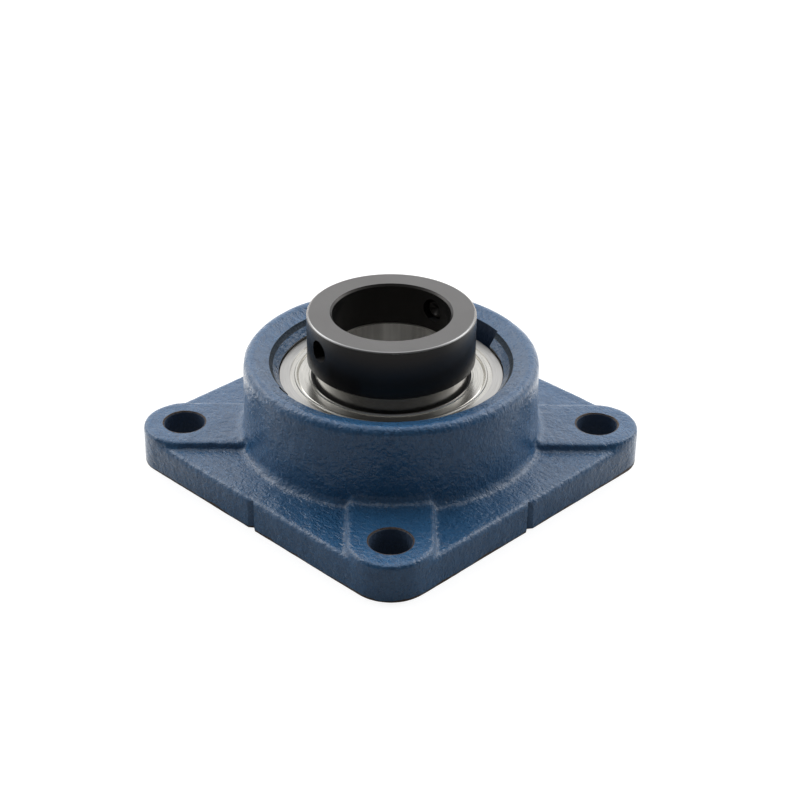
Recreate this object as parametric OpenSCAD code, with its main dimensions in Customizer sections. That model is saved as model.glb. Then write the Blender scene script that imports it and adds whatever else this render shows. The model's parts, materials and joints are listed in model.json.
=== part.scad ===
// Four-bolt square flange bearing unit: a cast housing holds a ball bearing insert whose
// round back lets it line itself up, and an eccentric collar locks the insert to a shaft.
// Z runs along the shaft, out of the open front. The origin is the centre of the mounting face.

/* [Flange] */
// Side of the square flange
flange_side = 130; // [127:0.5:136]
// Distance between neighbouring bolt holes
bolt_spacing = 101.5; // [98:0.5:104]
// Diameter of the bolt holes
bolt_hole_d = 14; // [10:0.5:16]
// Thickness of the flange between the bolt pads
web_t = 11.2; // [9:0.1:12.5]
// Height of the bolt pads above the mounting face
pad_h = 13.6; // [13:0.1:15]
// Radius along the upper edges of the flange and the pads
edge_round = 1.5; // [0.6:0.1:2]
// Chamfer at both ends of a bolt hole
hole_chamfer = 0.5; // [0.2:0.1:1]
// Width of the alignment notch in the middle of each side
notch_w = 4.6; // [3:0.1:7]
// Depth of the alignment notch
notch_depth = 1.1; // [0.5:0.1:2]

/* [Hub] */
// Height of the hub above the mounting face
hub_h = 41; // [40:0.1:43]
// How far the hub's end face falls from its rim to the mouth
face_drop = 2; // [0.4:0.1:2.4]
// Outer diameter of the hub just below its rounded rim
hub_d = 101; // [99:0.5:106]
// Draft of the hub's wall, in degrees
hub_draft = 1.2; // [0.4:0.2:3]
// Radius of the hub's rim
hub_round = 3; // [1.5:0.1:4]
// Fillet at the foot of the hub
foot_fillet = 3; // [1:0.1:5]
// Height of the bearing's centre above the mounting face
seat_z = 23.6; // [23:0.1:24.2]
// Diameter of the mouth in front of the bearing
mouth_d = 83.4; // [82:0.1:86]
// Depth of the steep wall below the mouth
mouth_depth = 1.6; // [0.8:0.1:2]
// How far the steep wall leans inwards
mouth_lean = 1.1; // [0.3:0.1:1.3]
// Diameter of the recess behind the bearing
recess_d = 84; // [80:0.5:88]
// How far the round seat reaches past each face of the outer ring
seat_margin = 1; // [0.5:0.1:1.5]

/* [Insert bearing] */
// Diameter of the outer ring's spherical outside
ring_d = 80; // [79:0.1:81]
// Width of the outer ring
ring_w = 20.4; // [20:0.1:21]
// Diameter of the balls
ball_d = 12; // [11.6:0.1:12.3]
// Raceway groove radius as a share of the ball's diameter
groove_share = 0.52; // [0.515:0.005:0.53]
// Depth of the outer ring's raceway groove
groove_depth = 2.2; // [1.8:0.1:2.5]
// Diameter of the shaft bore
bore_d = 40; // [35:0.5:40.5]
// Depth of the inner ring's raceway groove
inner_groove_depth = 2.16; // [1.8:0.02:2.5]
// From the bearing's centre to the inner ring's back end
inner_back = 11; // [10.8:0.1:12]
// From the bearing's centre to the shoulder that the locking collar faces
inner_front = 15.6; // [15.2:0.1:16.6]
// Chamfer on the rings' corners
ring_chamfer = 0.5; // [0.2:0.1:0.8]
// Diameter of the grease holes in the outer ring
ring_hole_d = 1.8; // [1:0.1:2.2]

/* [Seals] */
// How far the seal seats step outwards from the outer ring's inside
seal_step = 0.89; // [0.7:0.01:1.2]
// Depth of the seal seats
seal_depth = 2.6; // [2.5:0.1:2.8]
// Sheet thickness of the steel washers
sheet_t = 0.6; // [0.4:0.05:0.7]
// How far the washer's rim lies below the outer ring's face
rim_drop = 0.4; // [0.2:0.05:0.6]
// Distance of the washer's bead from its rim
bead_in = 2; // [1.6:0.1:2.4]
// Width of the bead's top
bead_w = 0.5; // [0.4:0.05:0.6]
// Height of the bead, and depth of the groove beside it
bead_h = 0.3; // [0.1:0.05:0.4]
// How far the washer's web lies below its rim
web_drop = 0.3; // [0.2:0.05:0.4]
// Distance of the ridge round the washer's inner edge from the inner ring
ridge_gap = 1.6; // [1.4:0.1:2]
// Width of the ridge's top
ridge_w = 0.5; // [0.4:0.05:0.6]
// Height of the ridge above the web
ridge_h = 0.45; // [0.2:0.05:0.6]
// Thickness of the rubber behind the washer
rubber_t = 0.6; // [0.3:0.05:0.7]
// Width of the rubber's bond under the washer's web
bond_w = 2.4; // [1:0.1:2.6]

/* [Cage] */
// Sheet thickness of the cage halves
cage_t = 0.8; // [0.6:0.05:0.9]
// Radial width of the cage's band
cage_w = 4.8; // [4:0.1:5.2]
// Diameter of the rivets
rivet_d = 1.8; // [1.4:0.1:2.2]
// Diameter of the rivets' heads
rivet_head_d = 3; // [2.6:0.1:3.6]
// Thickness of the rivets' heads
rivet_head_t = 0.6; // [0.4:0.05:0.7]

/* [Locking collar] */
// Outer diameter of the collar
collar_d = 57.4; // [56.5:0.1:60]
// Width of the collar
collar_w = 18; // [17:0.1:19]
// Radius round the collar's front edge
collar_round = 0.9; // [0.4:0.1:1.4]
// Chamfer at the collar's bore and back edge
collar_chamfer = 0.7; // [0.3:0.1:1]
// Smallest step from the inner ring's outside in to the eccentric cam
cam_step = 1.05; // [0.8:0.05:1.5]
// Length of the cam
cam_len = 3.3; // [2.5:0.1:4.5]
// Eccentricity of the cam
cam_offset = 0.8; // [0.6:0.05:1]
// Direction of the drift hole round the shaft, in degrees
drift_angle = -102.5; // [-150:0.5:-60]
// Diameter of the blind drift hole
drift_d = 7.6; // [6:0.1:8.4]
// Depth of the drift hole at its wall
drift_depth = 4.5; // [3:0.1:5]
// Angle of the cone at the drift hole's bottom, from its floor, in degrees
drill_angle = 31; // [20:1:40]
// Direction of the set screw round the shaft, in degrees
screw_angle = 90; // [60:0.5:120]
// Distance of the set screw and the drift hole below the collar's front face
screw_drop = 7; // [5.4:0.1:8]
// Diameter of the set screw
screw_d = 8; // [6:0.1:8.4]
// Length of the set screw
screw_len = 7; // [5:0.1:7.2]
// How far the set screw stands back from the collar's outside
screw_setback = 0.4; // [0.2:0.1:0.8]
// Width across the flats of the hexagon socket
socket_af = 4; // [3:0.5:4.5]
// Depth of the hexagon socket
socket_depth = 3.2; // [2:0.1:3.6]
// Chamfer at the set screw's outer end. Its point is chamfered twice as deep.
screw_chamfer = 0.6; // [0.3:0.1:0.8]

/* [Grease nipple] */
// Diameter of the nipple's thread
nipple_d = 6; // [5:0.1:6.4]
// Length of the nipple's thread
nipple_thread = 5; // [4:0.1:6]
// Width across the flats of the nipple's hexagon
nipple_af = 7; // [6.5:0.1:8]
// Height of the hexagon
nipple_hex_h = 3.2; // [2.5:0.1:4]
// Length of the nipple outside the housing
nipple_len = 10; // [9:0.1:11]
// Diameter of the nipple's head
nipple_head_d = 6.4; // [5.8:0.1:6.8]
// Diameter of the nipple's waist behind its head
nipple_waist_d = 4.2; // [4:0.1:4.6]
// Diameter of the nipple's mouth
nipple_mouth_d = 1.2; // [0.8:0.1:1.6]
// Bore of the nipple
nipple_bore_d = 2.6; // [2.4:0.1:3]
// Diameter of the check ball
check_ball_d = 2.2; // [2:0.05:2.3]

/* [Fits] */
// Gap between the outer ring and its seat, all round
seat_fit = 0.04; // [0.02:0.01:0.08]
// Gap between a ball and a raceway
race_fit = 0.012; // [0.01:0.001:0.03]
// Gap between a ball and its cage pocket
pocket_fit = 0.15; // [0.08:0.01:0.25]
// Gap between a seal lip and the inner ring
lip_fit = 0.04; // [0.02:0.01:0.1]
// Gap between the collar's bore and the shaft's size
collar_fit = 0.12; // [0.05:0.01:0.2]
// Gap between the cam and the collar's eccentric recess
cam_fit = 0.35; // [0.25:0.01:0.45]
// Gap between the collar and the inner ring's shoulder
face_fit = 0.1; // [0.05:0.01:0.2]
// Gap round a thread, a rivet or a pressed rim
thread_fit = 0.03; // [0.02:0.01:0.06]
// Gap between a loading slot and the outer ring's face
slot_fit = 0.3; // [0.1:0.05:0.5]

/* [Hidden] */
$fn = 120;

CAST_BLUE = [0.13, 0.24, 0.42];
BLACK_OXIDE = [0.13, 0.13, 0.14];
RING_STEEL = [0.72, 0.71, 0.68];
SHEET_STEEL = [0.80, 0.78, 0.72];
CAGE_STEEL = [0.60, 0.58, 0.52];
BALL_STEEL = [0.85, 0.85, 0.86];
RUBBER = [0.10, 0.10, 0.10];
ZINC = [0.78, 0.76, 0.66];

// Cuts run this far past the faces that they open
past = 1;
// Rounded forms reach this far into what they run out on
tuck = 0.01;

// Flange
corner_r = (flange_side - bolt_spacing) / 2;
bolt_reach = bolt_spacing / sqrt(2);

// Hub wall: a cone that runs tangent into the rim's radius. The end face falls evenly from the rim
// to the mouth's edge.
rim_r = hub_d / 2 - hub_round;
rim_z = hub_h - hub_round;
wall_top = [rim_r + hub_round * cos(hub_draft), rim_z + hub_round * sin(hub_draft)];
function wall_r(z) = wall_top[0] + (wall_top[1] - z) * tan(hub_draft);

// Seat and openings of the housing
seat_r = ring_d / 2 + seat_fit;
seat_half = ring_w / 2 + seat_margin;
seat_end_r = sqrt(seat_r * seat_r - seat_half * seat_half);
mouth_r = mouth_d / 2;
mouth_z = hub_h - face_drop;
recess_r = recess_d / 2;
// The bevels beside the seat are cut on into it by this share of their length
bevel_reach = 0.5;

// Raceways: the balls run midway between the bore and the outer ring's outside
ball_count = 9;
ball_r = ball_d / 2;
pitch_r = (bore_d + ring_d) / 4;
groove_r = groove_share * ball_d;
outer_groove_at = pitch_r + ball_r + race_fit - groove_r;
inner_groove_at = pitch_r - ball_r - race_fit + groove_r;
ring_land_r = pitch_r + ball_r + race_fit - groove_depth;
race_half = sqrt(groove_r * groove_r - (ring_land_r - outer_groove_at) * (ring_land_r - outer_groove_at));
shoulder_r = pitch_r - ball_r - race_fit + inner_groove_depth;
seal_r = ring_land_r + seal_step;
bore_r = bore_d / 2;

// Grease way: midway between the raceway and the back seal's seat
grease_z = -(race_half + ring_w / 2 - seal_depth) / 2;

// Collar, measured from the mounting face
collar_back = seat_z + inner_front + face_fit;
collar_front = collar_back + collar_w;
screw_z = collar_front - screw_drop;
collar_r = collar_d / 2;
collar_bore_r = bore_r + collar_fit;
cam_r = shoulder_r - cam_offset - cam_step;

// Nipple: its flat seat is sunk this far below the hub's wall
spot_depth = 1;
spot_margin = 2;
spot_x = wall_r(seat_z + grease_z) - spot_depth;
nipple_chamfer = 0.5;
head_z = nipple_len - 3;
bore_end = nipple_len - check_ball_d;

// A solid of revolution about the shaft's axis, lifted to height z
module turned(z = 0) translate([0, 0, z]) rotate_extrude() children();

// A round corner with a rounded upper edge
module corner_disc(h) {
  turned() {
    square([corner_r - edge_round, h]);
    square([corner_r, h - edge_round]);
    translate([corner_r - edge_round, h - edge_round]) circle(edge_round);
  }
}

// A straight block along X with rounded upper edges, between two round corners
module edged_block(reach, width, h) {
  half = width / 2 - tuck;
  translate([-reach, edge_round - half, 0]) cube([2 * reach, 2 * (half - edge_round), h]);
  translate([-reach, -half, 0]) cube([2 * reach, 2 * half, h - edge_round]);
  for (side = [-1, 1])
    translate([-reach, side * (half - edge_round), h - edge_round]) rotate([0, 90, 0])
      cylinder(r = edge_round, h = 2 * reach);
}

// The flange's plate between its corners
module flange_plate() {
  for (angle = [0, 90]) rotate(angle) edged_block(bolt_spacing / 2, flange_side, web_t);
}

// A raised bar from one bolt hole across to the opposite one
module bolt_pads(angle) {
  rotate(angle) {
    edged_block(bolt_reach, 2 * corner_r, pad_h);
    for (side = [-1, 1]) translate([side * bolt_reach, 0]) corner_disc(pad_h);
  }
}

// The hub's outside, with its rounded rim and drafted wall
module hub_body() {
  turned() {
    polygon([[0, 0], [wall_r(0), 0], wall_top, [rim_r, rim_z], [rim_r, hub_h],
             [mouth_r, mouth_z], [0, mouth_z]]);
    translate([rim_r, rim_z]) circle(hub_round);
  }
}

// A fillet between the hub's wall and a flat at height z
module foot_ring(z) {
  centre_z = z + foot_fillet - tuck;
  centre_r = wall_r(centre_z) + foot_fillet / cos(hub_draft) - tuck;
  turned() difference() {
    polygon([[wall_r(z) - past, z - past], [centre_r, z - past], [centre_r, z],
             [wall_r(centre_z), centre_z], [wall_r(centre_z) - past, centre_z]]);
    translate([centre_r, centre_z]) circle(foot_fillet);
  }
}

// The part of the pads' fillet that lies on the pads
module pad_fillets() {
  intersection() {
    foot_ring(pad_h);
    for (angle = [45, 135]) rotate(angle)
      translate([-bolt_reach, edge_round - corner_r, 0])
        cube([2 * bolt_reach, 2 * (corner_r - edge_round), pad_h + foot_fillet]);
  }
}

// A point on the line from one point through another, this share of their distance past it
function beyond(from, to, share) = to + (to - from) * share;

// Round seat with the bevels that lead to the mouth and to the recess behind. The bevels run on
// into the seat. The turn lets the revolved faces start and end inside a loading slot.
module seat_cavity() {
  band_end = [mouth_r - mouth_lean, mouth_z - mouth_depth];
  front = beyond(band_end, [seat_end_r, seat_z + seat_half], bevel_reach);
  recess_end = [recess_r, seat_z - seat_half - recess_r + seat_end_r];
  back = beyond(recess_end, [seat_end_r, seat_z - seat_half], bevel_reach);
  rotate(90) {
    translate([0, 0, seat_z]) sphere(seat_r);
    turned() polygon([[0, front[1]], front, band_end, [mouth_r, mouth_z],
                      [mouth_r, hub_h + past], [0, hub_h + past]]);
    turned() polygon([[0, -past], [recess_r, -past], recess_end, back, [0, back[1]]]);
  }
}

// Two opposite slots through which the insert goes in edge first
module loading_slots() {
  slot_w = ring_w + 2 * slot_fit;
  for (side = [-1, 1])
    translate([0, 0, seat_z]) linear_extrude(hub_h - seat_z + past) intersection() {
      circle(mouth_r - mouth_lean / 2);
      translate([0, side * mouth_r]) square([slot_w, mouth_r], center = true);
    }
}

// One bolt hole with its chamfers, centred on the origin
module bolt_hole() {
  r = bolt_hole_d / 2;
  translate([0, 0, -past]) cylinder(r = r, h = pad_h + 2 * past);
  translate([0, 0, -past]) cylinder(r1 = r + hole_chamfer + past, r2 = r, h = hole_chamfer + past);
  translate([0, 0, pad_h - hole_chamfer])
    cylinder(r1 = r, r2 = r + hole_chamfer + past, h = hole_chamfer + past);
}

// Shallow alignment notch in the middle of one side
module side_notch() {
  half = notch_w / 2;
  translate([flange_side / 2, 0, -past]) linear_extrude(web_t + 2 * past)
    polygon([[past, -half], [0, -half], [-notch_depth, 0], [0, half], [past, half]]);
}

// Drilled and tapped way from the nipple's seat to a groove round the bearing
module grease_way() {
  groove_w = ring_hole_d + 1;
  z = seat_z + grease_z;
  turned() translate([seat_r - groove_w, z - groove_w / 2]) square([groove_w, groove_w]);
  translate([-seat_r, 0, z]) rotate([0, -90, 0]) {
    translate([0, 0, -groove_w]) cylinder(d = nipple_bore_d, h = spot_x - seat_r);
    translate([0, 0, spot_x - seat_r - nipple_thread - thread_fit])
      cylinder(r = nipple_d / 2 + thread_fit, h = nipple_thread + past);
    translate([0, 0, spot_x - seat_r]) cylinder(d = nipple_af + 2 * spot_margin, h = 3 * spot_depth);
  }
}

// Cast housing: square flange, bolt pads, hub and the bearing's round seat
module housing() {
  color(CAST_BLUE) difference() {
    union() {
      flange_plate();
      bolt_pads(45);
      bolt_pads(135);
      hub_body();
      foot_ring(web_t);
      pad_fillets();
    }
    seat_cavity();
    loading_slots();
    grease_way();
    for (x = [-1, 1], y = [-1, 1]) translate([x, y] * bolt_spacing / 2) bolt_hole();
    for (side = [0:3]) rotate(90 * side) side_notch();
  }
}

// Outer ring with a round back, a raceway, two seal seats and two grease holes
module outer_ring() {
  half = ring_w / 2;
  face_r = sqrt(ring_d * ring_d / 4 - half * half);
  color(RING_STEEL) difference() {
    turned(seat_z) difference() {
      intersection() {
        circle(d = ring_d);
        polygon([[ring_land_r, -half], [face_r - ring_chamfer, -half], [face_r + past, past - half],
                 [face_r + past, half - past], [face_r - ring_chamfer, half], [ring_land_r, half]]);
      }
      translate([outer_groove_at, 0]) circle(groove_r);
      for (side = [-1, 1])
        translate([0, side * (half - seal_depth / 2 + past / 2)])
          square([2 * seal_r, seal_depth + past], center = true);
    }
    for (angle = [180, 60]) rotate(angle)
      translate([ring_land_r - past, 0, seat_z + grease_z]) rotate([0, 90, 0])
        cylinder(d = ring_hole_d, h = ring_d / 2 - ring_land_r + 2 * past);
  }
}

// Inner ring with the shaft bore, a raceway and the eccentric cam at its front end
module inner_ring() {
  c = ring_chamfer;
  color(RING_STEEL) difference() {
    union() {
      turned(seat_z) difference() {
        polygon([[bore_r - past, -inner_back], [shoulder_r - c, -inner_back],
                 [shoulder_r, c - inner_back], [shoulder_r, inner_front], [bore_r - past, inner_front]]);
        translate([inner_groove_at, 0]) circle(groove_r);
      }
      translate([cam_offset, 0, seat_z + inner_front]) {
        cylinder(r = cam_r, h = cam_len - c);
        translate([0, 0, cam_len - c]) cylinder(r1 = cam_r, r2 = cam_r - c, h = c);
      }
    }
    translate([0, 0, seat_z - inner_back - past])
      cylinder(r = bore_r, h = inner_back + inner_front + cam_len + 2 * past);
    translate([0, 0, seat_z - inner_back - past])
      cylinder(r1 = bore_r + c + past, r2 = bore_r, h = c + past);
    translate([0, 0, seat_z + inner_front + cam_len - c])
      cylinder(r1 = bore_r, r2 = bore_r + c + past, h = c + past);
  }
}

// One ball of the row, counted from the X axis
module ball(index) {
  color(BALL_STEEL) rotate((index - 1) * 360 / ball_count)
    translate([pitch_r, 0, seat_z]) sphere(ball_r);
}

// Places its children halfway between neighbouring balls
module between_balls() {
  for (index = [0:ball_count - 1]) rotate((index + 0.5) * 360 / ball_count)
    translate([pitch_r, 0, seat_z]) children();
}

// One pressed half of the cage: a flat band that bulges round each ball
module cage_half() {
  pocket_r = ball_r + pocket_fit;
  bulge_r = pocket_r + cage_t;
  difference() {
    intersection() {
      union() {
        cylinder(r = pitch_r + cage_w / 2, h = cage_t);
        for (index = [0:ball_count - 1]) rotate(index * 360 / ball_count)
          translate([pitch_r, 0, 0]) sphere(bulge_r);
      }
      difference() {
        cylinder(r = pitch_r + cage_w / 2, h = bulge_r);
        translate([0, 0, -past]) cylinder(r = pitch_r - cage_w / 2, h = bulge_r + 2 * past);
      }
    }
    for (index = [0:ball_count - 1]) {
      rotate(index * 360 / ball_count) translate([pitch_r, 0, 0]) sphere(pocket_r);
      rotate((index + 0.5) * 360 / ball_count)
        translate([pitch_r, 0, -past]) cylinder(r = rivet_d / 2 + thread_fit, h = cage_t + 2 * past);
    }
  }
}

module cage_front() color(CAGE_STEEL) translate([0, 0, seat_z]) cage_half();

module cage_back() color(CAGE_STEEL) translate([0, 0, seat_z]) mirror([0, 0, 1]) cage_half();

// Rivets that hold the two halves of the cage together
module cage_rivets() {
  color(CAGE_STEEL) between_balls() {
    cylinder(d = rivet_d, h = 2 * cage_t, center = true);
    for (side = [0, 1]) mirror([0, 0, side])
      translate([0, 0, cage_t]) cylinder(d = rivet_head_d, h = rivet_head_t);
  }
}

// Corners of the seal washer's upper side, from its rim to its inner edge.
// Heights count from the outer ring's face.
rim_r_out = seal_r - thread_fit;
bead_r = rim_r_out - bead_in;
ridge_r = shoulder_r + ridge_gap;
web_z = -rim_drop - web_drop;
washer_path = [
  [rim_r_out, -rim_drop],
  [bead_r + bead_w, -rim_drop],
  [bead_r + bead_w / 2, bead_h - rim_drop],
  [bead_r - bead_w / 2, bead_h - rim_drop],
  [bead_r - bead_w, web_z - bead_h],
  [bead_r - 2 * bead_w, web_z],
  [ridge_r + ridge_w, web_z],
  [ridge_r + ridge_w / 2, web_z + ridge_h],
  [ridge_r - ridge_w / 2, web_z + ridge_h]
];
function lowered(points, drop) = [for (p = points) [p[0], p[1] - drop]];
function reversed(points) = [for (i = [len(points) - 1:-1:0]) points[i]];
function after(points, first) = [for (i = [first:len(points) - 1]) points[i]];

// Pressed steel washer: its rim stands on the floor of the seal seat
module seal_washer() {
  rim_r_in = rim_r_out - sheet_t;
  rim = [[rim_r_out, -seal_depth], [rim_r_in, -seal_depth], [rim_r_in, -rim_drop - sheet_t]];
  under = lowered(after(washer_path, 1), sheet_t);
  color(SHEET_STEEL) turned() polygon(concat(washer_path, reversed(under), reversed(rim)));
}

// Rubber bonded under the washer's web and ridge, with the lip that runs on the inner ring
module seal_lip() {
  bonded = lowered(after(washer_path, 6), sheet_t);
  heel = bonded[len(bonded) - 1];
  bond_start = [bonded[0][0] + bond_w, bonded[0][1]];
  lip_r = shoulder_r + lip_fit;
  lip_z = bonded[0][1] - rubber_t;
  color(RUBBER) turned() polygon(concat([bond_start], bonded, [
    [lip_r + rubber_t, heel[1]], [lip_r, heel[1] - rubber_t], [lip_r, lip_z],
    [bond_start[0], lip_z]]));
}

module at_front_face() translate([0, 0, seat_z + ring_w / 2]) children();
module at_back_face() translate([0, 0, seat_z - ring_w / 2]) mirror([0, 0, 1]) children();

module front_seal_washer() at_front_face() seal_washer();
module front_seal_lip() at_front_face() seal_lip();
module back_seal_washer() at_back_face() seal_washer();
module back_seal_lip() at_back_face() seal_lip();

// Collar that is turned on the cam until it wedges the inner ring on the shaft
module locking_collar() {
  c = collar_chamfer;
  e = collar_round;
  color(BLACK_OXIDE) difference() {
    turned() {
      polygon([[0, collar_back], [collar_r - c, collar_back], [collar_r, collar_back + c],
               [collar_r, collar_front - e], [collar_r - e, collar_front - e],
               [collar_r - e, collar_front], [0, collar_front]]);
      translate([collar_r - e, collar_front - e]) circle(e);
    }
    translate([0, 0, collar_back - past]) cylinder(r = collar_bore_r, h = collar_w + 2 * past);
    translate([0, 0, collar_front - c])
      cylinder(r1 = collar_bore_r, r2 = collar_bore_r + c + past, h = c + past);
    translate([cam_offset, 0, collar_back - past])
      cylinder(r = cam_r + cam_fit, h = cam_len + face_fit + past);
    rotate(drift_angle) translate([collar_r, 0, screw_z]) rotate([0, -90, 0]) {
      translate([0, 0, -past]) cylinder(d = drift_d, h = drift_depth + past);
      translate([0, 0, drift_depth])
        cylinder(r1 = drift_d / 2, r2 = 0, h = drift_d / 2 * tan(drill_angle));
    }
    rotate(screw_angle) translate([0, 0, screw_z]) rotate([0, 90, 0])
      cylinder(r = screw_d / 2 + thread_fit, h = collar_r + past);
  }
}

// Set screw with a hexagon socket and a cup point, lying in the collar's wall
module set_screw() {
  c = screw_chamfer;
  r = screw_d / 2;
  cup_r = r - 3 * c;
  tip = collar_r - screw_setback - screw_len;
  color(BLACK_OXIDE) rotate(screw_angle) translate([tip, 0, screw_z]) rotate([0, 90, 0]) difference() {
    turned() polygon([[0, 0], [r - 2 * c, 0], [r, 2 * c], [r, screw_len - c],
                      [r - c, screw_len], [0, screw_len]]);
    translate([0, 0, screw_len - socket_depth])
      cylinder(r = socket_af / sqrt(3), h = socket_depth + past, $fn = 6);
    translate([0, 0, -past]) cylinder(r1 = cup_r + past, r2 = 0, h = cup_r + past);
  }
}

// Places its children on the nipple's seat, with their Z axis pointing out of the hub
module at_nipple() translate([-spot_x, 0, seat_z + grease_z]) rotate([0, -90, 0]) children();

// Grease nipple with a hexagon, a waist and a tapered head
module grease_nipple() {
  c = nipple_chamfer;
  head_r = nipple_head_d / 2;
  waist_r = nipple_waist_d / 2;
  neck_r = waist_r + c;
  mouth_r = nipple_mouth_d / 2;
  bore_r = nipple_bore_d / 2;
  color(ZINC) at_nipple() difference() {
    union() {
      cylinder(r = nipple_af / sqrt(3), h = nipple_hex_h, $fn = 6);
      turned() polygon([
        [0, -nipple_thread], [nipple_d / 2 - c, -nipple_thread], [nipple_d / 2, c - nipple_thread],
        [nipple_d / 2, 0], [neck_r, 0], [neck_r, nipple_hex_h + c], [waist_r, nipple_hex_h + 2 * c],
        [waist_r, head_z - head_r + waist_r], [head_r, head_z], [head_r, head_z + 2 * c],
        [head_r / 2, nipple_len], [0, nipple_len]]);
    }
    translate([0, 0, -nipple_thread - past]) cylinder(r = bore_r, h = bore_end + nipple_thread + past);
    translate([0, 0, bore_end]) cylinder(r1 = bore_r, r2 = mouth_r, h = bore_r - mouth_r);
    translate([0, 0, bore_end]) cylinder(r = mouth_r, h = nipple_len - bore_end + past);
  }
}

// Check ball just behind the nipple's mouth, against the bore's cone
module nipple_ball() {
  r = check_ball_d / 2;
  color(BALL_STEEL) at_nipple()
    translate([0, 0, bore_end + nipple_bore_d / 2 - (r + thread_fit) * sqrt(2)]) sphere(r);
}

housing();
outer_ring();
inner_ring();
ball(1);  // ball_1
ball(2);  // ball_2
ball(3);  // ball_3
ball(4);  // ball_4
ball(5);  // ball_5
ball(6);  // ball_6
ball(7);  // ball_7
ball(8);  // ball_8
ball(9);  // ball_9
cage_front();
cage_back();
cage_rivets();
front_seal_washer();
front_seal_lip();
back_seal_washer();
back_seal_lip();
locking_collar();
set_screw();
grease_nipple();
nipple_ball();
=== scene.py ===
"""Looks, light and camera for the flange bearing unit."""

import json
import math

import bmesh
import bpy
from mathutils import Matrix, Vector


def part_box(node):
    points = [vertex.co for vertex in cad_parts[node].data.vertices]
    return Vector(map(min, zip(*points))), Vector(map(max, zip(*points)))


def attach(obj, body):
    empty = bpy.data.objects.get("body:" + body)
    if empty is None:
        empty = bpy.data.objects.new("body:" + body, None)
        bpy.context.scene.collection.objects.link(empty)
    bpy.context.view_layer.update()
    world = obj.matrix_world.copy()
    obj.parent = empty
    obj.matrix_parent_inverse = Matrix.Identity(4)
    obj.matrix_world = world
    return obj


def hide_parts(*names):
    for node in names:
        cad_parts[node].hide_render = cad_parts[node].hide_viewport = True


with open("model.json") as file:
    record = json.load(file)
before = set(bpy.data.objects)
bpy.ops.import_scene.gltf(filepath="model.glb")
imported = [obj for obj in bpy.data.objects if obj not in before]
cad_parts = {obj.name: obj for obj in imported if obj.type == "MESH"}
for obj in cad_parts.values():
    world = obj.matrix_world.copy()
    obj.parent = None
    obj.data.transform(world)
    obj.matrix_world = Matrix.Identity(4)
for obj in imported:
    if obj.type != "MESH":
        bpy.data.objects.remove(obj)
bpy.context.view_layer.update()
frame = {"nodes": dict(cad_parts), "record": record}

MM = 0.001

# Camera, fitted to the photograph: distances in millimetres, angles in degrees, focal length in pixels
CAM_DISTANCE = 652.09
CAM_ELEVATION = 32.216
CAM_PITCH = 30.492
CAM_YAW = 0.324
CAM_AZIMUTH = 45 - 0.182
CAM_ROLL = 0.550
CAM_FOCAL_PX = 1852.2
IMAGE_PX = 800
SENSOR_MM = 36.0

WHITE = (1.0, 1.0, 1.0, 1.0)


# Camera
def rig_vector(x, y, z):
    """A direction right, away and up from the camera's stand, in the model's frame."""
    a = math.radians(CAM_AZIMUTH)
    return Vector((x * math.cos(a) - y * math.sin(a), x * math.sin(a) + y * math.cos(a), z))


def make_camera():
    e, p, w, roll = (math.radians(v) for v in (CAM_ELEVATION, CAM_PITCH, CAM_YAW, CAM_ROLL))
    place = rig_vector(0, -CAM_DISTANCE * math.cos(e), CAM_DISTANCE * math.sin(e)) * MM
    forward = rig_vector(math.sin(w) * math.cos(p), math.cos(w) * math.cos(p), -math.sin(p))
    level = rig_vector(math.cos(w), -math.sin(w), 0)
    upright = level.cross(forward)
    right = level * math.cos(roll) + upright * math.sin(roll)
    up = upright * math.cos(roll) - level * math.sin(roll)
    data = bpy.data.cameras.new("camera")
    data.sensor_width = SENSOR_MM
    data.lens = CAM_FOCAL_PX / IMAGE_PX * SENSOR_MM
    data.clip_start, data.clip_end = 0.01, 20
    camera = bpy.data.objects.new("camera", data)
    bpy.context.scene.collection.objects.link(camera)
    turn = Matrix((right, up, -forward)).transposed().to_4x4()
    camera.matrix_world = Matrix.Translation(place) @ turn
    bpy.context.scene.camera = camera


make_camera()
bpy.context.scene.view_settings.view_transform = "Standard"


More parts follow.
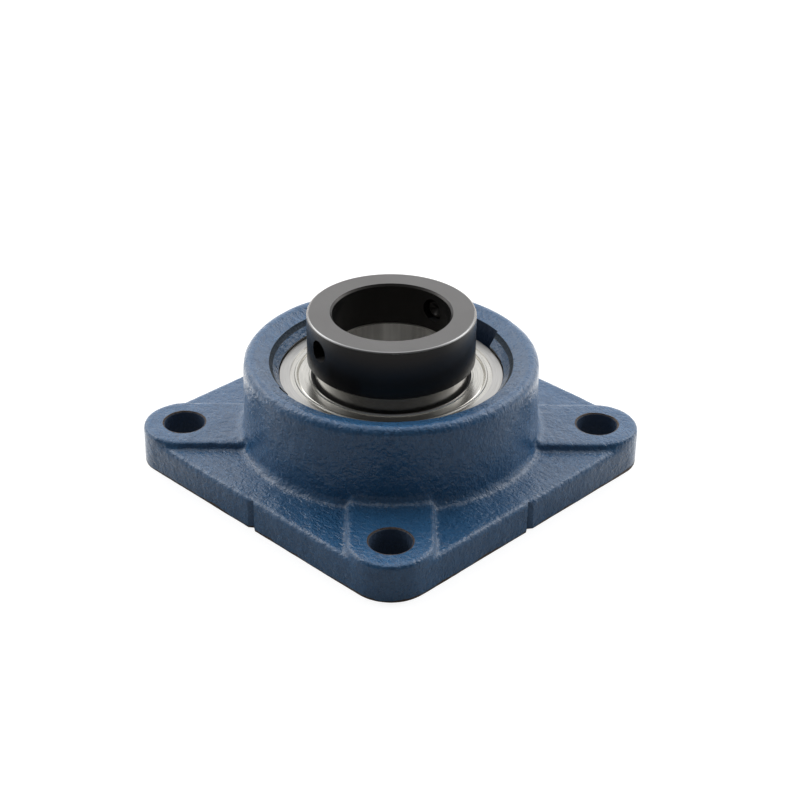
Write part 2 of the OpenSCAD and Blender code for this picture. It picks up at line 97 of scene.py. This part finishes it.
# Shader helpers
class Shader:
    """A small wrapper that makes and links shader nodes."""

    def __init__(self, tree):
        self.tree = tree
        self.tree.nodes.clear()

    def node(self, kind, _out=0, _set=None, **inputs):
        n = self.tree.nodes.new(kind)
        for key, value in (_set or {}).items():
            setattr(n, key, value)
        for key, value in inputs.items():
            name = int(key[1:]) if key[0] == "_" else key.replace("_", " ")
            self.put(n.inputs[name], value)
        return n.outputs[_out] if n.outputs else None

    def put(self, socket, value):
        if isinstance(value, bpy.types.NodeSocket):
            self.tree.links.new(value, socket)
        else:
            socket.default_value = value

    def math(self, operation, a, b=0.0):
        return self.node("ShaderNodeMath", _set={"operation": operation}, _0=a, _1=b)

    def both(self, a, b):
        """What two masks share."""
        return self.math("MULTIPLY", a, b)

    def either(self, a, b):
        """What one mask or the other covers."""
        return self.math("MAXIMUM", a, b)

    def step(self, value, low, high):
        """0 below low, 1 above high."""
        n = self.tree.nodes.new("ShaderNodeMapRange")
        n.interpolation_type = "SMOOTHSTEP"
        self.put(n.inputs["Value"], value)
        n.inputs["From Min"].default_value = low
        n.inputs["From Max"].default_value = high
        return n.outputs["Result"]

    def above(self, length, limit, blur):
        """1 where a length in metres is above a limit in millimetres, with an edge that is blur wide."""
        return self.step(length, (limit - blur / 2) * MM, (limit + blur / 2) * MM)

    def below(self, length, limit, blur):
        """The reverse of above."""
        return self.step(length, (limit + blur / 2) * MM, (limit - blur / 2) * MM)

    def mix(self, factor, a, b):
        """A colour between a and b."""
        n = self.tree.nodes.new("ShaderNodeMix")
        n.data_type = "RGBA"
        self.put(n.inputs["Factor"], factor)
        self.put(n.inputs[6], a)
        self.put(n.inputs[7], b)
        return n.outputs[2]

    def blend(self, factor, a, b):
        """A number between a and b."""
        n = self.tree.nodes.new("ShaderNodeMix")
        self.put(n.inputs[0], factor)
        self.put(n.inputs[2], a)
        self.put(n.inputs[3], b)
        return n.outputs[0]

    def place(self):
        """The point in the model's frame, in metres."""
        return self.node("ShaderNodeTexCoord", _out=3)

    def normal(self):
        return self.node("ShaderNodeNewGeometry", _out=1)

    def split(self, vector):
        n = self.tree.nodes.new("ShaderNodeSeparateXYZ")
        self.put(n.inputs[0], vector)
        return n.outputs

    def join(self, x, y, z):
        return self.node("ShaderNodeCombineXYZ", _0=x, _1=y, _2=z)

    def noise(self, vector, scale, detail=3.0, rough=0.5, distortion=0.0):
        return self.node("ShaderNodeTexNoise", Vector=vector, Scale=scale, Detail=detail,
                         Roughness=rough, Distortion=distortion)

    def stretch(self, vector, x, y, z, turn=(0, 0, 0)):
        n = self.tree.nodes.new("ShaderNodeMapping")
        self.put(n.inputs["Vector"], vector)
        n.inputs["Scale"].default_value = (x, y, z)
        n.inputs["Rotation"].default_value = turn
        return n.outputs[0]

    def hypot(self, x, y):
        squares = self.math("ADD", self.math("MULTIPLY", x, x), self.math("MULTIPLY", y, y))
        return self.math("SQRT", squares)

    def polar(self, vector):
        """Radius, angle and height about the shaft's axis."""
        x, y, z = self.split(vector)
        return self.hypot(x, y), self.math("ARCTAN2", y, x), z

    def turning(self, radius, angle, height, fine, along):
        """Noise drawn out round the shaft's axis, as a lathe or a grinding wheel leaves it."""
        drawn = self.join(self.math("MULTIPLY", radius, fine), self.math("MULTIPLY", angle, along),
                          self.math("MULTIPLY", height, fine))
        return self.noise(drawn, 1.0, 2.0, 0.6)

    def bump(self, height, distance, strength=1.0, after=None):
        inputs = {"Height": height, "Distance": distance, "Strength": strength}
        if after is not None:
            inputs["Normal"] = after
        return self.node("ShaderNodeBump", **inputs)


def new_material(name):
    material = bpy.data.materials.new(name)
    material.use_nodes = True
    return material, Shader(material.node_tree)


def finish_material(s, **inputs):
    """Ends a material in one principled surface. Underscores in names stand for spaces."""
    surface = s.node("ShaderNodeBsdfPrincipled", **inputs)
    s.node("ShaderNodeOutputMaterial", Surface=surface)


def scaled(tone, factor):
    """A tone made darker or lighter, as a colour."""
    return tuple(min(1.0, factor * t) for t in tone) + (1.0,)


def dress(node, material):
    data = frame["nodes"][node].data
    data.materials.clear()
    data.materials.append(material)


# Cast housing
# Sizes repeated from the part's source, in millimetres
FLANGE_HALF = 65.0
WEB_T = 11.2
PAD_H = 13.6
BOLT_SPACING = 101.5
BOLT_R = 7.0
BOLT_CHAMFER = 0.5
SEAT_Z = 23.6
SEAT_R = 40.04
SEAT_HALF = 11.2
MOUTH_R = 41.7
MOUTH_Z = 39.0
BAND_END = (40.6, 37.4)
RECESS_R = 42.0
RECESS_END_Z = 8.84
NIPPLE_SEAT_X = 49.93
NIPPLE_HOLE_R = 3.03
NIPPLE_SPOT_R = 5.5
BORE_R = 20.0

# Sizes taken from the photograph, which differ a little from the source's
NOTCH_DEPTH = 1.2
NOTCH_REACH = 1.0
NOTCH_HALF_AT_REACH = 3.2
SLOT_HALF = 12.4
SLOT_R = 42.3

# How the cast skin is made, in millimetres and degrees
CAST_VOXEL = 0.7
DROP = 3.0
PAST = 2.0
PLUG_MARGIN = 1.0
RECESS_PLUG_TOP = 14.0
FILLER_REACH = 4.0
FILLER_SINK = 1.5
HOUSING_TOP = 60.0
KEEP_MARGIN = 0.003
NIPPLE_HOLE_DEPTH = 7.0
NIPPLE_SPOT_REACH = 4.0
SHARP_ANGLE = 38
SEAT_STEPS = 40
CUT_SIDES = 192
HOLE_SIDES = 96
SMALL_SIDES = 64

# Where the looks of the insert change, in millimetres
INNER_RING_REACH = 28.0
COLLAR_EDGE_Z = 55.8
COLLAR_EDGE_R = 26.75


def link(name, mesh):
    piece = bpy.data.objects.new(name, mesh)
    bpy.context.scene.collection.objects.link(piece)
    return piece


def turned_mesh(name, profile, sides=CUT_SIDES):
    """A closed solid of revolution about Z. The profile runs from axis to axis, in millimetres."""
    points, faces = [], []
    rings = profile[1:-1]
    for r, z in rings:
        for k in range(sides):
            a = 2 * math.pi * k / sides
            points.append((r * math.cos(a) * MM, r * math.sin(a) * MM, z * MM))
    first, last = len(points), len(points) + 1
    points += [(0, 0, profile[0][1] * MM), (0, 0, profile[-1][1] * MM)]
    for i in range(len(rings) - 1):
        for k in range(sides):
            n = (k + 1) % sides
            faces.append((i * sides + k, i * sides + n, (i + 1) * sides + n, (i + 1) * sides + k))
    top = (len(rings) - 1) * sides
    for k in range(sides):
        n = (k + 1) % sides
        faces.append((first, n, k))
        faces.append((last, top + k, top + n))
    mesh = bpy.data.meshes.new(name)
    mesh.from_pydata(points, [], faces)
    return mesh


def box_mesh(name, low, high):
    outline = [(low[0], low[1]), (high[0], low[1]), (high[0], high[1]), (low[0], high[1])]
    return prism_mesh(name, outline, low[2], high[2])


def arc(centre_z, radius, low, high, steps):
    """Points of the seat's sphere between two heights."""
    for k in range(steps + 1):
        z = low + (high - low) * k / steps
        yield math.sqrt(radius ** 2 - (z - centre_z) ** 2), z


def apply_modifiers(piece):
    graph = bpy.context.evaluated_depsgraph_get()
    mesh = bpy.data.meshes.new_from_object(piece.evaluated_get(graph))
    piece.modifiers.clear()
    piece.data = mesh


def joined(name, parts):
    """One mesh out of (mesh, shift in millimetres) parts that overlap."""
    out = bmesh.new()
    for mesh, shift in parts:
        copy = mesh.copy()
        copy.transform(Matrix.Translation(Vector(shift) * MM))
        out.from_mesh(copy)
    bmesh.ops.remove_doubles(out, verts=out.verts, dist=1e-7)
    mesh = bpy.data.meshes.new(name)
    out.to_mesh(mesh)
    return mesh


def cut(piece, mesh, operation="DIFFERENCE"):
    """Takes a closed mesh away from a piece, or keeps what lies in it, with crisp edges."""
    tool = link("tool", mesh)
    modifier = piece.modifiers.new("cut", "BOOLEAN")
    modifier.operation = operation
    modifier.solver = "MANIFOLD"
    modifier.object = tool
    apply_modifiers(piece)
    bpy.data.objects.remove(tool)


def clouds(piece, name, size, depth, detail):
    texture = bpy.data.textures.new(name, "CLOUDS")
    texture.noise_scale = size * MM
    texture.noise_depth = detail
    modifier = piece.modifiers.new(name, "DISPLACE")
    modifier.texture = texture
    modifier.texture_coords = "LOCAL"
    # above one half, so that the skin sinks more than it swells
    modifier.mid_level = 0.7
    modifier.strength = depth * MM


def prism_mesh(name, outline, low, high):
    """A flat outline, counter-clockwise in millimetres, raised from low to high."""
    count = len(outline)
    points = [(x * MM, y * MM, z * MM) for z in (low, high) for x, y in outline]
    faces = [tuple(range(count - 1, -1, -1)), tuple(range(count, 2 * count))]
    faces += [(k, (k + 1) % count, (k + 1) % count + count, k + count) for k in range(count)]
    mesh = bpy.data.meshes.new(name)
    mesh.from_pydata(points, [], faces)
    return mesh


def slot_mesh(side):
    """One loading slot, from the seat's middle up through the hub's face."""
    inner, top, steps = 24.0, 45.0, 24
    half_angle = math.asin(SLOT_HALF / SLOT_R)
    outline = [(-SLOT_HALF, inner), (SLOT_HALF, inner)]
    for k in range(steps + 1):
        a = half_angle * (1 - 2 * k / steps)
        outline.append((SLOT_R * math.sin(a), SLOT_R * math.cos(a)))
    if side < 0:
        outline = [(-x, -y) for x, y in outline]
    return prism_mesh("slot", outline, SEAT_Z, top)


def quarter_turn(quarter):
    return Matrix.Rotation(quarter * math.pi / 2, 4, "Z")


def bolt_spots():
    half = BOLT_SPACING / 2
    return [(x * half, y * half, 0) for x in (-1, 1) for y in (-1, 1)]


def plug_mesh(radius, top, sides=CUT_SIDES):
    """Fills a hole before the remesh, so that the hole can be cut crisply after it."""
    return turned_mesh("plug", [(0, -DROP), (radius, -DROP), (radius, top), (0, top)], sides)


def filled_source(source):
    """The CAD housing with its holes, seat and notches filled, and its foot drawn down out of reach."""
    parts = [(source, (0, 0, 0)), (source, (0, 0, -DROP))]
    parts.append((plug_mesh(MOUTH_R, MOUTH_Z), (0, 0, 0)))
    parts.append((plug_mesh(RECESS_R + PLUG_MARGIN, RECESS_PLUG_TOP), (0, 0, 0)))
    bolt_plug = plug_mesh(BOLT_R + PLUG_MARGIN, PAD_H, SMALL_SIDES)
    parts += [(bolt_plug, spot) for spot in bolt_spots()]
    for quarter in range(4):
        filler = box_mesh("filler", (FLANGE_HALF - FILLER_REACH, -FILLER_REACH, -DROP),
                          (FLANGE_HALF, FILLER_REACH, WEB_T - FILLER_SINK))
        filler.transform(quarter_turn(quarter))
        parts.append((filler, (0, 0, 0)))
    return joined("housing_cast", parts)


def soften(piece):
    """Rounds the edges and swells the surfaces as sand casting does."""
    remesh = piece.modifiers.new("remesh", "REMESH")
    remesh.mode = "VOXEL"
    remesh.voxel_size = CAST_VOXEL * MM
    smooth = piece.modifiers.new("smooth", "SMOOTH")
    smooth.factor = 0.5
    smooth.iterations = 4
    clouds(piece, "swell", size=9.0, depth=0.22, detail=1)
    clouds(piece, "lumps", size=2.6, depth=0.10, detail=2)
    apply_modifiers(piece)


def cut_notches(piece):
    for quarter in range(4):
        outline = [(FLANGE_HALF - NOTCH_DEPTH, 0), (FLANGE_HALF + NOTCH_REACH, -NOTCH_HALF_AT_REACH),
                   (FLANGE_HALF + NOTCH_REACH, NOTCH_HALF_AT_REACH)]
        groove = prism_mesh("groove", outline, -DROP - PAST, WEB_T + PAST)
        groove.transform(quarter_turn(quarter))
        cut(piece, groove)


def cut_bolt_holes(piece):
    low, high = -DROP - PAST, PAD_H + PAST
    chamfer_r = BOLT_R + BOLT_CHAMFER
    foot_reach = 1.0
    hole = turned_mesh("hole", [(0, low), (BOLT_R, low), (BOLT_R, PAD_H - BOLT_CHAMFER),
                                (chamfer_r + PAST, high), (0, high)], HOLE_SIDES)
    foot = turned_mesh("hole", [(0, -foot_reach), (chamfer_r + foot_reach, -foot_reach),
                                (BOLT_R, BOLT_CHAMFER), (0, BOLT_CHAMFER)], HOLE_SIDES)
    for spot in bolt_spots():
        for shape in (hole, foot):
            tool = shape.copy()
            tool.transform(Matrix.Translation(Vector(spot) * MM))
            cut(piece, tool)


def cut_seat(piece):
    """Recess behind, round seat, steep band and mouth, in one turned cutter."""
    low, high = SEAT_Z - SEAT_HALF, SEAT_Z + SEAT_HALF
    seat = [(0, -DROP - PAST), (RECESS_R, -DROP - PAST), (RECESS_R, RECESS_END_Z),
            *arc(SEAT_Z, SEAT_R, low, high, SEAT_STEPS),
            BAND_END, (MOUTH_R - 0.1, MOUTH_Z - 0.1), (MOUTH_R, HOUSING_TOP), (0, HOUSING_TOP)]
    cut(piece, turned_mesh("seat", seat))
    for side in (-1, 1):
        cut(piece, slot_mesh(side))


def cut_nipple_hole(piece):
    low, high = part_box("grease_nipple")
    axis_z = (low.z + high.z) / 2
    profile = [(0, -NIPPLE_HOLE_DEPTH), (NIPPLE_HOLE_R, -NIPPLE_HOLE_DEPTH), (NIPPLE_HOLE_R, 0),
               (NIPPLE_SPOT_R, 0), (NIPPLE_SPOT_R, NIPPLE_SPOT_REACH), (0, NIPPLE_SPOT_REACH)]
    way = turned_mesh("way", profile, SMALL_SIDES)
    outward = Matrix.Rotation(-math.pi / 2, 4, "Y")
    way.transform(Matrix.Translation((-NIPPLE_SEAT_X * MM, 0, axis_z)) @ outward)
    cut(piece, way)


def cast_housing():
    """The CAD housing with soft, uneven cast surfaces, and its machined holes and seat cut afresh."""
    source = frame["nodes"]["housing"].data
    piece = link("housing_cast", filled_source(source))
    soften(piece)
    cut_notches(piece)
    cut_bolt_holes(piece)
    cut_seat(piece)
    cut_nipple_hole(piece)
    half = FLANGE_HALF - KEEP_MARGIN
    cut(piece, box_mesh("keep", (-half, -half, 0), (half, half, HOUSING_TOP)), "INTERSECT")
    piece.data.set_sharp_from_angle(angle=math.radians(SHARP_ANGLE))
    piece.data.materials.clear()
    piece.data.materials.append(PAINT)
    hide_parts("housing")
    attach(piece, "mount_housing")


# Materials
def cast_paint():
    """Blue machinery paint over a sand-cast skin, bare where it was machined or chipped."""
    material, s = new_material("housing_paint")
    at = s.place()
    x, y, z = s.split(at)
    radius = s.hypot(x, y)
    # skin of the moulding sand under thick paint
    grain = s.noise(at, 900.0, 2.0, 0.55, 0.5)
    wrinkle = s.noise(s.stretch(at, 450, 660, 540, (0.3, 0.2, 0.5)), 1.0, 2.0, 0.55, 0.8)
    lumps = s.noise(at, 130.0, 2.0, 0.5)
    swell = s.noise(at, 32.0, 1.0, 0.5)
    relief = s.bump(lumps, distance=0.0011, strength=0.6)
    relief = s.bump(wrinkle, distance=0.00031, after=relief)
    relief = s.bump(grain, distance=0.00021, after=relief)
    deep = (0.018, 0.074, 0.168, 1.0)
    pale = (0.028, 0.104, 0.222, 1.0)
    paint = s.mix(s.step(wrinkle, 0.35, 0.65), deep, pale)
    paint = s.mix(s.math("MULTIPLY", s.step(swell, 0.3, 0.75), 0.6), paint, (0.022, 0.087, 0.188, 1.0))
    # painted shade: a darker colour in the loading slots
    across = s.math("ABSOLUTE", x)
    slot_wall = s.both(s.below(radius, SLOT_R + 0.075, 0.05), s.above(radius, 39.25, 0.5))
    slot_painted_shade = s.both(s.both(s.below(across, SLOT_HALF + 0.07, 0.06), slot_wall), s.below(z, 39.1, 1.0))
    paint = s.mix(s.math("MULTIPLY", slot_painted_shade, 0.90), paint, (0.008, 0.017, 0.040, 1.0))
    # the steep band of the mouth: dark grey bare iron, with painted shade on it
    band = s.both(s.below(radius, MOUTH_R, 0.1), s.above(z, BAND_END[1] - 0.2, 0.2))
    band = s.both(band, s.above(across, SLOT_HALF - 0.05, 0.1))
    paint = s.mix(s.math("MULTIPLY", band, 0.90), paint, (0.014, 0.026, 0.038, 1.0))
    # iron left bare: milled mounting face, turned seat, edges of the bolt holes
    ragged = s.math("MULTIPLY", s.math("SUBTRACT", lumps, 0.5), 0.0022)
    under = s.below(s.math("ADD", z, ragged), 0.65, 0.2)
    milled = s.below(z, 0.03, 0.02)
    seat = s.both(s.below(radius, SEAT_R + 0.26, 0.1), s.below(z, SEAT_Z + SEAT_HALF, 0.2))
    corner_x = s.math("SUBTRACT", across, BOLT_SPACING / 2 * MM)
    corner_y = s.math("SUBTRACT", s.math("ABSOLUTE", y), BOLT_SPACING / 2 * MM)
    from_hole = s.hypot(corner_x, corner_y)
    rim = s.below(s.math("ADD", from_hole, s.math("MULTIPLY", ragged, 0.35)), BOLT_R + 0.65, 0.2)
    hole_wall_painted_light = s.below(from_hole, BOLT_R + 0.08, 0.08)
    bare = s.either(s.either(under, seat), rim)
    mill = s.noise(s.stretch(at, 30, 2600, 1), 1.0, 3.0, 0.6)
    bright = s.mix(mill, (0.20, 0.195, 0.185, 1.0), (0.34, 0.33, 0.31, 1.0))
    rusty = s.mix(grain, (0.030, 0.020, 0.016, 1.0), (0.105, 0.075, 0.056, 1.0))
    turned = s.either(milled, seat)
    iron = s.mix(turned, rusty, bright)
    # the wall inside the bolt holes: dark navy paint, lightened as painted light where little light
    # reaches
    iron = s.mix(hole_wall_painted_light, iron, (0.045, 0.072, 0.120, 1.0))
    dull = s.either(bare, s.either(slot_painted_shade, band))
    finish_material(
        s,
        Base_Color=s.mix(bare, paint, iron),
        Metallic=s.math("MULTIPLY", turned, 0.9),
        Roughness=s.blend(dull, s.blend(s.step(grain, 0.3, 0.7), 0.26, 0.36), 0.55),
        Specular_IOR_Level=0.32,
        Coat_Weight=s.blend(dull, 0.66, 0.0),
        Coat_Roughness=0.09,
        Normal=relief,
        Coat_Normal=relief,
    )
    return material


def ground_steel(name, tone, rough, inner_ring_shade=1.0):
    """Bearing steel ground in fine arcs. Its chamfers are darker: painted shade, and also the dark scale
    of hardening.
    """
    material, s = new_material(name)
    at = s.place()
    radius, angle, height = s.polar(at)
    marks = s.turning(radius, angle, height, 5200.0, 3.0)
    cloud = s.noise(at, 90.0, 2.0, 0.5)
    colour = s.mix(s.step(marks, 0.3, 0.7), scaled(tone, 0.86), scaled(tone, 1.06))
    if inner_ring_shade < 1:
        # painted light in the bore: the steel is lighter there, with lighter stripes along the shaft as
        # painted reflections
        along = s.join(s.math("MULTIPLY", angle, 5.0), s.math("MULTIPLY", height, 12.0), 0.0)
        streaks = s.noise(along, 1.0, 2.0, 0.5)
        bore = s.mix(s.step(streaks, 0.3, 0.7), scaled(tone, 1.15), scaled(tone, 1.75))
        colour = s.mix(s.below(radius, BORE_R + 0.25, 0.1), colour, bore)
        # painted shade: the inner ring is darker from the bore out to INNER_RING_REACH, under the black
        # collar
        shoulder_painted_shade = s.both(s.below(radius, INNER_RING_REACH, 1.0), s.above(radius, BORE_R + 0.45, 0.3))
        colour = s.mix(shoulder_painted_shade, colour, scaled(tone, inner_ring_shade))
        # chamfers darker: painted shade, and also the dark scale of hardening
        upright = s.math("ABSOLUTE", s.split(s.normal())[2])
        chamfer_shade_and_scale = s.both(s.step(upright, 0.30, 0.45), s.step(upright, 0.93, 0.80))
        colour = s.mix(chamfer_shade_and_scale, colour, (0.10, 0.095, 0.085, 1.0))
    finish_material(
        s,
        Base_Color=colour,
        Metallic=1.0,
        Roughness=s.blend(cloud, rough - 0.04, rough + 0.05),
        Normal=s.bump(marks, 0.00003, 0.5),
    )
    return material


def black_oxide():
    """Blackened steel: matt turned faces, smoother and darker round the sides."""
    material, s = new_material("black_oxide")
    at = s.place()
    radius, angle, height = s.polar(at)
    marks = s.turning(radius, angle, height, 6500.0, 2.0)
    cloud = s.noise(at, 70.0, 3.0, 0.55)
    upright = s.math("ABSOLUTE", s.split(s.normal())[2])
    flat = s.step(upright, 0.90, 0.985)
    # painted highlight: a lighter metal band round the outer edge of the front face
    edge = s.both(s.step(upright, 0.25, 0.60), s.step(upright, 0.99, 0.93))
    edge = s.both(edge, s.above(height, COLLAR_EDGE_Z + 0.1, 0.2))
    edge = s.both(edge, s.above(radius, COLLAR_EDGE_R, 0.5))
    side = s.mix(cloud, (0.006, 0.006, 0.006, 1.0), (0.011, 0.011, 0.011, 1.0))
    face = s.mix(cloud, (0.150, 0.150, 0.151, 1.0), (0.185, 0.185, 0.186, 1.0))
    black = s.mix(flat, side, face)
    finish_material(
        s,
        Base_Color=s.mix(s.math("MULTIPLY", edge, 0.8), black, (0.42, 0.42, 0.42, 1.0)),
        Metallic=s.either(s.math("MULTIPLY", flat, 0.9), edge),
        Roughness=s.blend(flat, 0.27, 0.40),
        Specular_IOR_Level=0.45,
        Specular_Tint=(1.0, 0.95, 0.89, 1.0),
        Normal=s.bump(marks, 0.00002, 0.4),
    )
    return material


def rubber():
    material, s = new_material("seal_rubber")
    at = s.place()
    grain = s.noise(at, 1500.0, 2.0, 0.5)
    finish_material(
        s,
        Base_Color=s.mix(grain, (0.010, 0.010, 0.011, 1.0), (0.020, 0.020, 0.021, 1.0)),
        Roughness=s.blend(grain, 0.55, 0.75),
        Normal=s.bump(grain, 0.00003, 0.4),
    )
    return material


def plain_metal(name, tone, rough, grain_scale, grain_depth):
    material, s = new_material(name)
    at = s.place()
    grain = s.noise(at, grain_scale, 3.0, 0.55)
    finish_material(
        s,
        Base_Color=s.mix(grain, scaled(tone, 0.85), scaled(tone, 1.08)),
        Metallic=1.0,
        Roughness=s.blend(grain, rough - 0.06, rough + 0.08),
        Normal=s.bump(grain, grain_depth, 0.5),
    )
    return material


PAINT = cast_paint()
RING = ground_steel("ring_steel", (0.55, 0.54, 0.52), 0.29, 0.60)
SHEET = ground_steel("sheet_steel", (0.66, 0.645, 0.60), 0.23)
BALL = plain_metal("ball_steel", (0.80, 0.80, 0.80), 0.10, 300.0, 0.000002)
CAGE = plain_metal("cage_steel", (0.50, 0.47, 0.40), 0.38, 700.0, 0.00002)
ZINC = plain_metal("zinc_plate", (0.66, 0.62, 0.48), 0.30, 500.0, 0.00002)
OXIDE = black_oxide()
RUBBER = rubber()

SLOT_MATERIALS = {
    "housing_paint": PAINT,
    "ring_steel": RING,
    "sheet_steel": SHEET,
    "ball_steel": BALL,
    "cage_steel": CAGE,
    "zinc_plate": ZINC,
    "black_oxide": OXIDE,
    "seal_rubber": RUBBER,
}
for part in frame["record"]["subparts"]:
    dress(part["node"], SLOT_MATERIALS[part["material_slot"]])
cast_housing()


# Stage
def background_rays(s):
    """1 for rays that should see the white background."""
    n = s.tree.nodes.new("ShaderNodeLightPath")
    seen = s.either(n.outputs["Is Camera Ray"], n.outputs["Is Glossy Ray"])
    return n, s.either(seen, n.outputs["Is Transmission Ray"])


def make_world():
    world = bpy.data.worlds.new("studio")
    world.use_nodes = True
    bpy.context.scene.world = world
    s = Shader(world.node_tree)
    path, seen = background_rays(s)
    direction = s.node("ShaderNodeTexCoord", _out=0)
    toward = rig_vector(0, -1, 0)
    dot = s.node("ShaderNodeVectorMath", _out=1, _set={"operation": "DOT_PRODUCT"},
                 _0=direction, _1=toward)
    rise = s.split(direction)[2]
    # the dark side of the studio, behind the camera, reaches further round for soft light
    below_top = s.step(rise, 0.995, 0.90)
    dark = s.both(s.step(dot, -0.15, 0.45), below_top)
    soft_dark = s.both(s.step(dot, -0.40, 0.25), below_top)
    around = s.mix(dark, (0.98, 0.985, 1.0, 1.0), (0.11, 0.11, 0.112, 1.0))
    # soft light is strongest about 35 degrees above the floor, and weak from straight above
    low_light = s.mix(s.step(rise, 0.10, 0.50), (1.55, 1.57, 1.61, 1.0), (3.75, 3.78, 3.86, 1.0))
    low_light = s.mix(s.step(rise, 0.62, 0.92), low_light, (0.18, 0.183, 0.186, 1.0))
    soft = s.mix(soft_dark, low_light, (0.15, 0.152, 0.155, 1.0))
    colour = s.mix(seen, soft, around)
    colour = s.mix(path.outputs["Is Camera Ray"], colour, WHITE)
    surface = s.node("ShaderNodeBackground", Color=colour, Strength=1.0)
    s.node("ShaderNodeOutputWorld", Surface=surface)


def make_floor():
    # a hair below the mounting face, in metres
    half, level = 3.0, -0.0002
    corners = [(-half, -half, level), (half, -half, level), (half, half, level), (-half, half, level)]
    mesh = bpy.data.meshes.new("floor")
    mesh.from_pydata(corners, [], [(0, 1, 2, 3)])
    floor = bpy.data.objects.new("floor", mesh)
    bpy.context.scene.collection.objects.link(floor)
    material, s = new_material("floor")
    path, seen = background_rays(s)
    x, y, z = s.split(s.place())
    toward = rig_vector(0, -1, 0)
    nearer = s.math("ADD", s.math("MULTIPLY", x, toward.x), s.math("MULTIPLY", y, toward.y))
    # painted shadow in what reflections see: the floor's glow is cut under the part and on the studio's
    # dark side
    lit = s.both(s.above(s.hypot(x, y), 70, 40), s.below(nearer, 20, 120))
    faint = s.math("MULTIPLY", seen, s.math("MAXIMUM", lit, 0.12))
    glow = s.blend(path.outputs["Is Camera Ray"], faint, 1.0)
    matt = s.node("ShaderNodeBsdfDiffuse", Color=(0.30, 0.30, 0.30, 1.0), Roughness=0.0)
    glow = s.node("ShaderNodeEmission", Color=WHITE, Strength=s.math("MULTIPLY", glow, 0.84))
    paper = s.node("ShaderNodeAddShader", _0=matt, _1=glow)
    # seen from below, the floor is clear, so that the mounting face can be looked at
    clear = s.node("ShaderNodeBsdfTransparent")
    below = s.node("ShaderNodeNewGeometry", _out=6)
    surface = s.node("ShaderNodeMixShader", _0=below, _1=paper, _2=clear)
    s.node("ShaderNodeOutputMaterial", Surface=surface)
    mesh.materials.append(material)


def make_lamp(name, at, aim, size, power):
    """A rectangular lamp. Its place, aim and size are in metres, seen from the camera's stand."""
    data = bpy.data.lights.new(name, "AREA")
    data.shape = "RECTANGLE"
    data.size, data.size_y = size
    data.energy = power
    lamp = bpy.data.objects.new(name, data)
    bpy.context.scene.collection.objects.link(lamp)
    place = rig_vector(*at)
    turn = (rig_vector(*aim) - place).to_track_quat("-Z", "Y").to_matrix().to_4x4()
    lamp.matrix_world = Matrix.Translation(place) @ turn


make_world()
make_floor()
for side, word in ((-1, "left"), (1, "right")):
    make_lamp(f"lamp_top_{word}", (side * 0.60, 0.95, 1.10), (0, 0, 0), (0.8, 0.8), 0.9)
for side, word in ((-1, "left"), (1, "right")):
    make_lamp(f"lamp_{word}", (side * 1.05, 0.75, 1.00), (0, 0, 0.02), (0.9, 0.9), 4.2)
